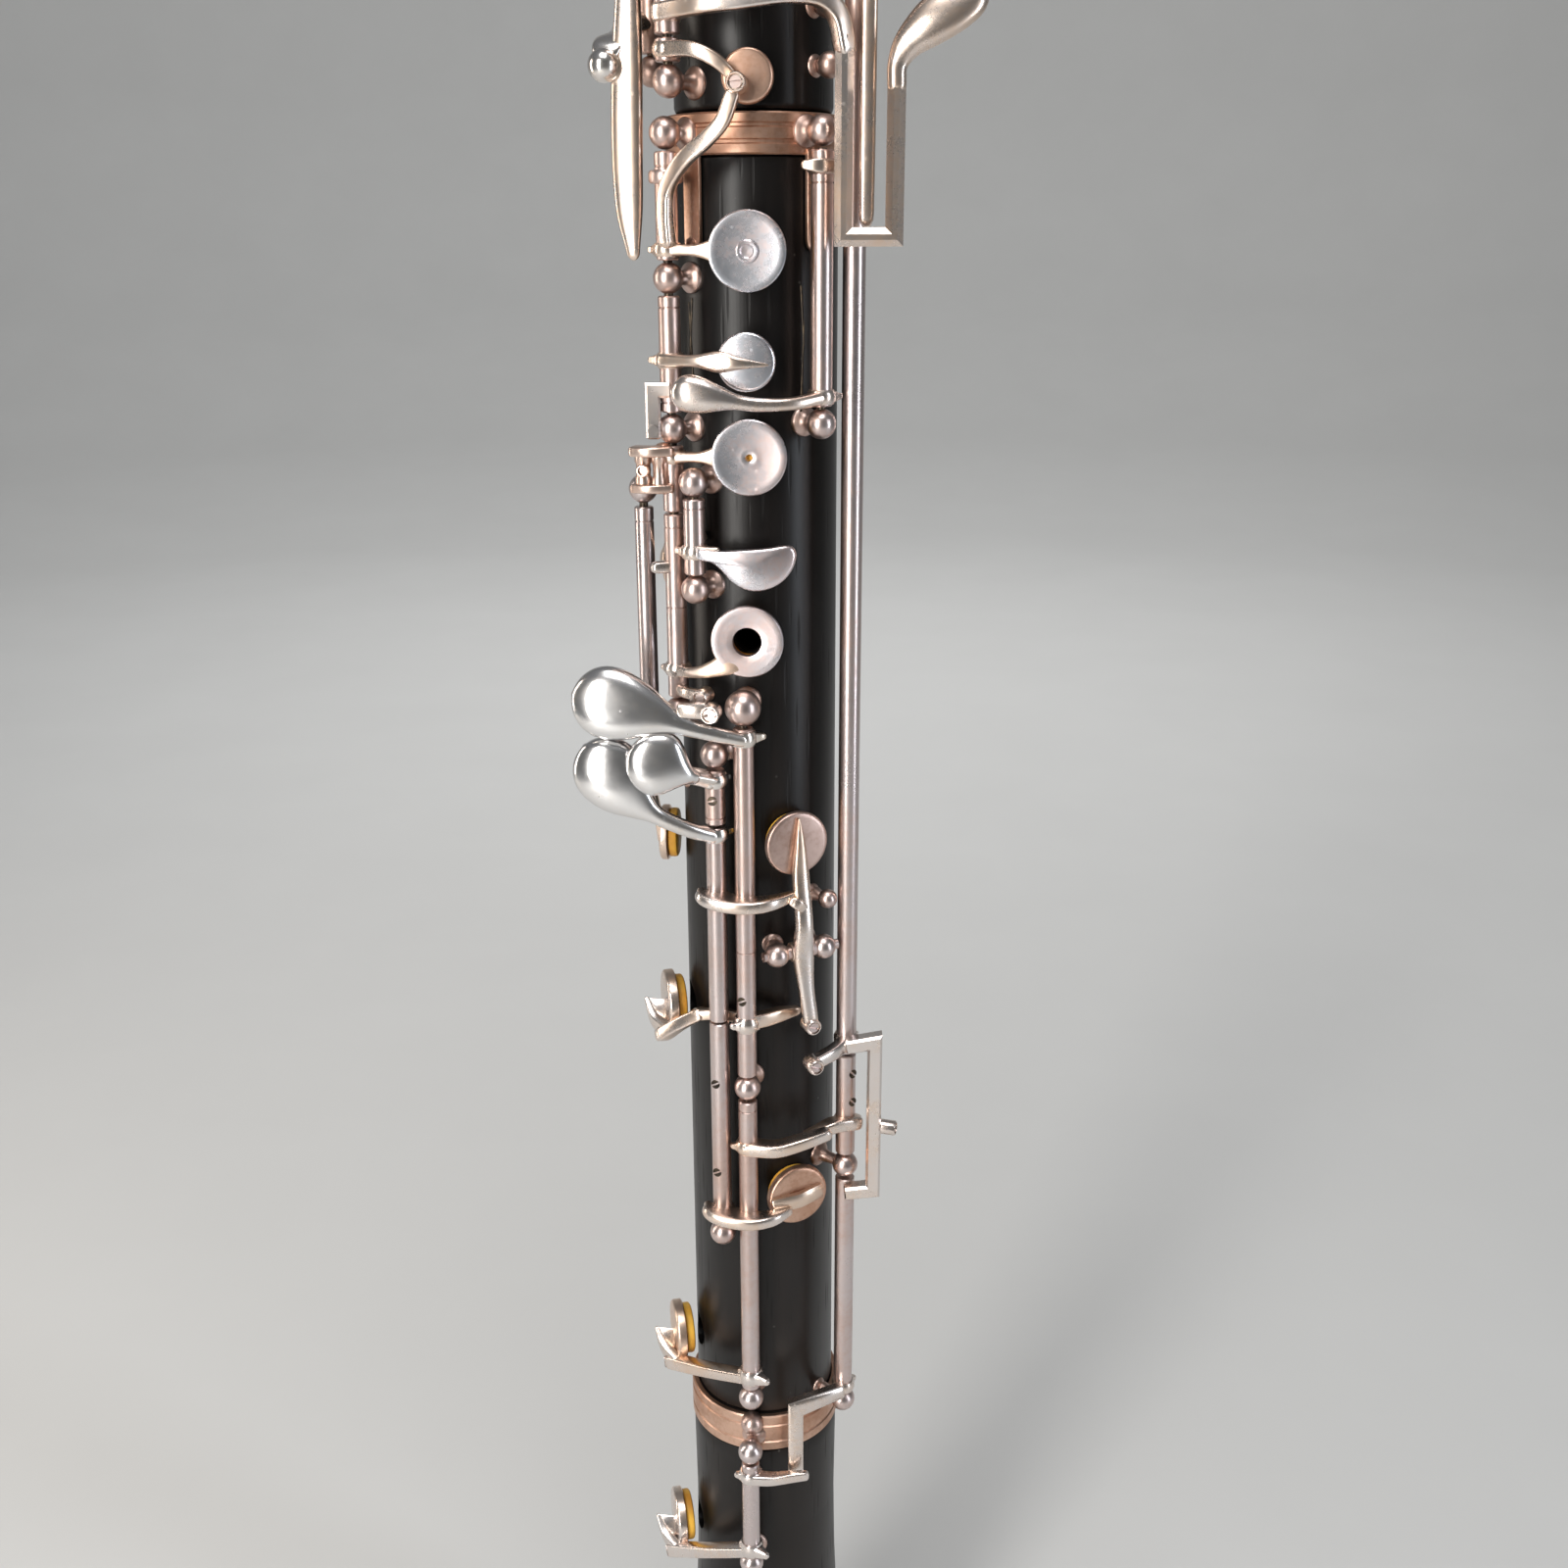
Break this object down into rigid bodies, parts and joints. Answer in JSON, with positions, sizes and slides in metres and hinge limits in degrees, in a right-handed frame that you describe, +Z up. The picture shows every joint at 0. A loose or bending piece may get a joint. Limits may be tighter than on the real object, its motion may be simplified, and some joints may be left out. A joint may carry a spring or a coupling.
{
  "type": "oboe",
  "caption": "Oboe with bored dark wood joints and bell, metal rings, and silver keywork of plates, cups, levers and touches on hinge rods.",
  "frame": {"origin": "middle of the bell's mouth, on the bore's axis", "axes": "+Z up the bore towards the reed socket, -Y the side of the finger plates, +X the player's left as seen from the plates"},
  "size_m": [0.0697, 0.0531, 0.6],
  "materials": {
    "grenadilla": "satin",
    "silver": "polished",
    "rose_silver": "polished",
    "cork": "matte",
    "pad_skin": "satin"
  },
  "bodies": {
    "oboe_body": {"bell": "grenadilla", "bell_key_post": "silver", "bell_rim_ring": "rose_silver", "bell_ring": "rose_silver", "bell_tenon_cork": "cork", "f_key_posts": "silver", "lower_joint": "grenadilla", "middle_tenon_cork": "cork", "reed_socket_ring": "rose_silver", "rod_a_posts": "silver", "rod_b_foot_post": "silver", "rod_b_top_post": "silver", "rod_c_posts": "silver", "rod_d_foot_post": "silver", "rod_d_guide_post": "silver", "rod_d_middle_post": "silver", "rod_d_top_post": "silver", "seesaw_posts": "silver", "shake_key_posts": "silver", "side_octave_posts": "silver", "side_vent_posts": "silver", "socket_ring": "rose_silver", "thumb_octave_posts": "silver", "thumb_rest": "silver", "trill_post": "silver", "upper_joint": "grenadilla", "upper_rod_posts": "silver"},
    "f_sharp_key": {"f_sharp_key": "silver", "f_sharp_pad": "pad_skin"},
    "f_sharp_vent_key": {"f_sharp_vent_key": "silver"},
    "e_key": {"e_key": "silver", "e_pad": "pad_skin"},
    "d_ring_key": {"d_ring_key": "silver", "d_pad": "pad_skin"},
    "f_key": {"f_key": "silver"},
    "trill_key": {"trill_key": "silver"},
    "low_c_key": {"low_c_key": "silver", "low_c_pad": "pad_skin"},
    "low_b_key": {"low_b_key": "silver", "low_b_pad": "pad_skin"},
    "e_flat_touch": {"e_flat_touch": "silver"},
    "c_sharp_key": {"c_sharp_key": "silver", "c_sharp_pad": "pad_skin"},
    "low_b_flat_lever": {"low_b_flat_lever": "silver"},
    "low_b_lever": {"low_b_lever": "silver"},
    "bell_key": {"bell_key": "silver", "bell_pad": "pad_skin"},
    "side_vent_key": {"side_vent_key": "silver", "side_vent_pad": "pad_skin"},
    "bridge_key": {"bridge_key": "silver"},
    "g_sharp_key": {"g_sharp_key": "silver"},
    "g_key": {"g_key": "silver"},
    "a_key": {"a_key": "silver"},
    "half_hole_key": {"half_hole_key": "silver"},
    "thumb_octave_key": {"thumb_octave_key": "silver"},
    "side_octave_key": {"side_octave_key": "silver"},
    "long_shake_key": {"long_shake_key": "silver"},
    "short_shake_key": {"short_shake_key": "silver"},
    "e_flat_cup_lever": {"e_flat_cup_lever": "silver", "e_flat_pad": "pad_skin"}
  },
  "joints": [
    {"name": "f_sharp_key_hinge", "type": "hinge", "parent": "oboe_body", "child": "f_sharp_key", "pos_m": [-0.0137, -0.0123, 0.3494], "axis": [0, 0, 1], "range_deg": [0, 4], "stiffness_Nm_per_rad": 0.012, "springref_deg": -20.05},
    {"name": "f_sharp_vent_key_hinge", "type": "hinge", "parent": "oboe_body", "child": "f_sharp_vent_key", "pos_m": [-0.0137, -0.0123, 0.3326], "axis": [0, 0, 1], "range_deg": [0, 4.2], "stiffness_Nm_per_rad": 0.012, "springref_deg": -20.05},
    {"name": "e_key_hinge", "type": "hinge", "parent": "oboe_body", "child": "e_key", "pos_m": [-0.0137, -0.0123, 0.3176], "axis": [0, 0, 1], "range_deg": [0, 4], "stiffness_Nm_per_rad": 0.012, "springref_deg": -20.05},
    {"name": "d_ring_key_hinge", "type": "hinge", "parent": "oboe_body", "child": "d_ring_key", "pos_m": [-0.0137, -0.0123, 0.287], "axis": [0, 0, 1], "range_deg": [0, 4], "stiffness_Nm_per_rad": 0.012, "springref_deg": -20.05},
    {"name": "f_key_hinge", "type": "hinge", "parent": "oboe_body", "child": "f_key", "pos_m": [-0.0102, -0.0157, 0.301], "axis": [0, 0, 1], "range_deg": [0, 4], "stiffness_Nm_per_rad": 0.012, "springref_deg": -20.05},
    {"name": "trill_key_hinge", "type": "hinge", "parent": "oboe_body", "child": "trill_key", "pos_m": [0.01075, -0.01505, 0.3265], "axis": [0, 0, -1], "range_deg": [0, 4.5], "stiffness_Nm_per_rad": 0.012, "springref_deg": -20.05},
    {"name": "low_c_key_hinge", "type": "hinge", "parent": "oboe_body", "child": "low_c_key", "pos_m": [-0.00245, -0.0186, 0.2703], "axis": [0, 0, -1], "range_deg": [0, 3], "stiffness_Nm_per_rad": 0.012, "springref_deg": -20.05},
    {"name": "low_b_key_hinge", "type": "hinge", "parent": "oboe_body", "child": "low_b_key", "pos_m": [-0.00245, -0.0186, 0.1903], "axis": [0, 0, -1], "range_deg": [0, 3.4], "stiffness_Nm_per_rad": 0.012, "springref_deg": -20.05},
    {"name": "e_flat_touch_hinge", "type": "hinge", "parent": "oboe_body", "child": "e_flat_touch", "pos_m": [-0.0075, -0.0172, 0.2524], "axis": [0, 0, -1], "range_deg": [0, 3.5], "stiffness_Nm_per_rad": 0.012, "springref_deg": -20.05},
    {"name": "c_sharp_key_hinge", "type": "hinge", "parent": "oboe_body", "child": "c_sharp_key", "pos_m": [-0.0075, -0.0172, 0.2626], "axis": [0, 0, -1], "range_deg": [0, 4], "stiffness_Nm_per_rad": 0.012, "springref_deg": -20.05},
    {"name": "low_b_flat_lever_hinge", "type": "hinge", "parent": "oboe_body", "child": "low_b_flat_lever", "pos_m": [0.016, -0.012, 0.2099], "axis": [0, 0, 1], "range_deg": [0, 3.4], "stiffness_Nm_per_rad": 0.012, "springref_deg": -20.05},
    {"name": "low_b_lever_hinge", "type": "hinge", "parent": "oboe_body", "child": "low_b_lever", "pos_m": [0.016, -0.012, 0.1924], "axis": [0, 0, 1], "range_deg": [0, 5.4], "stiffness_Nm_per_rad": 0.012, "springref_deg": -20.05},
    {"name": "bell_key_hinge", "type": "hinge", "parent": "oboe_body", "child": "bell_key", "pos_m": [-0.0027, -0.0198, 0.115], "axis": [0, 0, -1], "range_deg": [0, 3.4], "stiffness_Nm_per_rad": 0.012, "springref_deg": -20.05},
    {"name": "side_vent_key_hinge", "type": "hinge", "parent": "oboe_body", "child": "side_vent_key", "pos_m": [-0.0193, -0.006, 0.266], "axis": [0, 0, -1], "range_deg": [0, 5], "stiffness_Nm_per_rad": 0.012, "springref_deg": -20.05},
    {"name": "bridge_key_hinge", "type": "hinge", "parent": "oboe_body", "child": "bridge_key", "pos_m": [-0.0129, -0.0129, 0.3785], "axis": [0, 0, 1], "range_deg": [0, 4.2], "stiffness_Nm_per_rad": 0.012, "springref_deg": -20.05},
    {"name": "g_sharp_key_hinge", "type": "hinge", "parent": "oboe_body", "child": "g_sharp_key", "pos_m": [-0.0129, -0.0129, 0.3834], "axis": [0, 0, 1], "range_deg": [0, 2.2], "stiffness_Nm_per_rad": 0.012, "springref_deg": -20.05},
    {"name": "g_key_hinge", "type": "hinge", "parent": "oboe_body", "child": "g_key", "pos_m": [-0.0129, -0.0129, 0.43], "axis": [0, 0, 1], "range_deg": [0, 4], "stiffness_Nm_per_rad": 0.012, "springref_deg": -20.05},
    {"name": "a_key_hinge", "type": "hinge", "parent": "oboe_body", "child": "a_key", "pos_m": [-0.0129, -0.0129, 0.462], "axis": [0, 0, 1], "range_deg": [0, 4], "stiffness_Nm_per_rad": 0.012, "springref_deg": -20.05},
    {"name": "half_hole_key_hinge", "type": "hinge", "parent": "oboe_body", "child": "half_hole_key", "pos_m": [-0.0129, -0.0129, 0.5], "axis": [0, 0, 1], "range_deg": [0, 4], "stiffness_Nm_per_rad": 0.012, "springref_deg": -20.05},
    {"name": "thumb_octave_key_hinge", "type": "hinge", "parent": "oboe_body", "child": "thumb_octave_key", "pos_m": [0.0056, 0.0154, 0.489], "axis": [0, 0, 1], "range_deg": [0, 5], "stiffness_Nm_per_rad": 0.012, "springref_deg": -20.05},
    {"name": "side_octave_key_hinge", "type": "hinge", "parent": "oboe_body", "child": "side_octave_key", "pos_m": [0.0164, 0.0029, 0.462], "axis": [0, 0, 1], "range_deg": [0, 5], "stiffness_Nm_per_rad": 0.012, "springref_deg": -20.05},
    {"name": "long_shake_key_hinge", "type": "hinge", "parent": "oboe_body", "child": "long_shake_key", "pos_m": [-0.0166, 0.0044, 0.41], "axis": [0, 0, 1], "range_deg": [0, 4], "stiffness_Nm_per_rad": 0.012, "springref_deg": -20.05},
    {"name": "short_shake_key_hinge", "type": "hinge", "parent": "oboe_body", "child": "short_shake_key", "pos_m": [-0.0166, 0.0044, 0.384], "axis": [0, 0, 1], "range_deg": [0, 4], "stiffness_Nm_per_rad": 0.012, "springref_deg": -20.05},
    {"name": "e_flat_cup_lever_hinge", "type": "hinge", "parent": "oboe_body", "child": "e_flat_cup_lever", "pos_m": [0.00734, -0.01665, 0.2295], "axis": [0.915, 0.4035, 0], "range_deg": [0, 4.4], "stiffness_Nm_per_rad": 0.012, "springref_deg": -20.05}
  ],
  "couplings": [
    {"joint": "low_b_key_hinge", "follows": "low_b_lever_hinge", "ratio": 0.6},
    {"joint": "e_flat_cup_lever_hinge", "follows": "e_flat_touch_hinge", "ratio": 1.2},
    {"joint": "bell_key_hinge", "follows": "low_b_flat_lever_hinge", "ratio": 0.95},
    {"joint": "side_vent_key_hinge", "follows": "d_ring_key_hinge", "ratio": 1.2},
    {"joint": "f_sharp_vent_key_hinge", "follows": "e_key_hinge", "ratio": 1},
    {"joint": "bridge_key_hinge", "follows": "f_sharp_key_hinge", "ratio": 1}
  ]
}
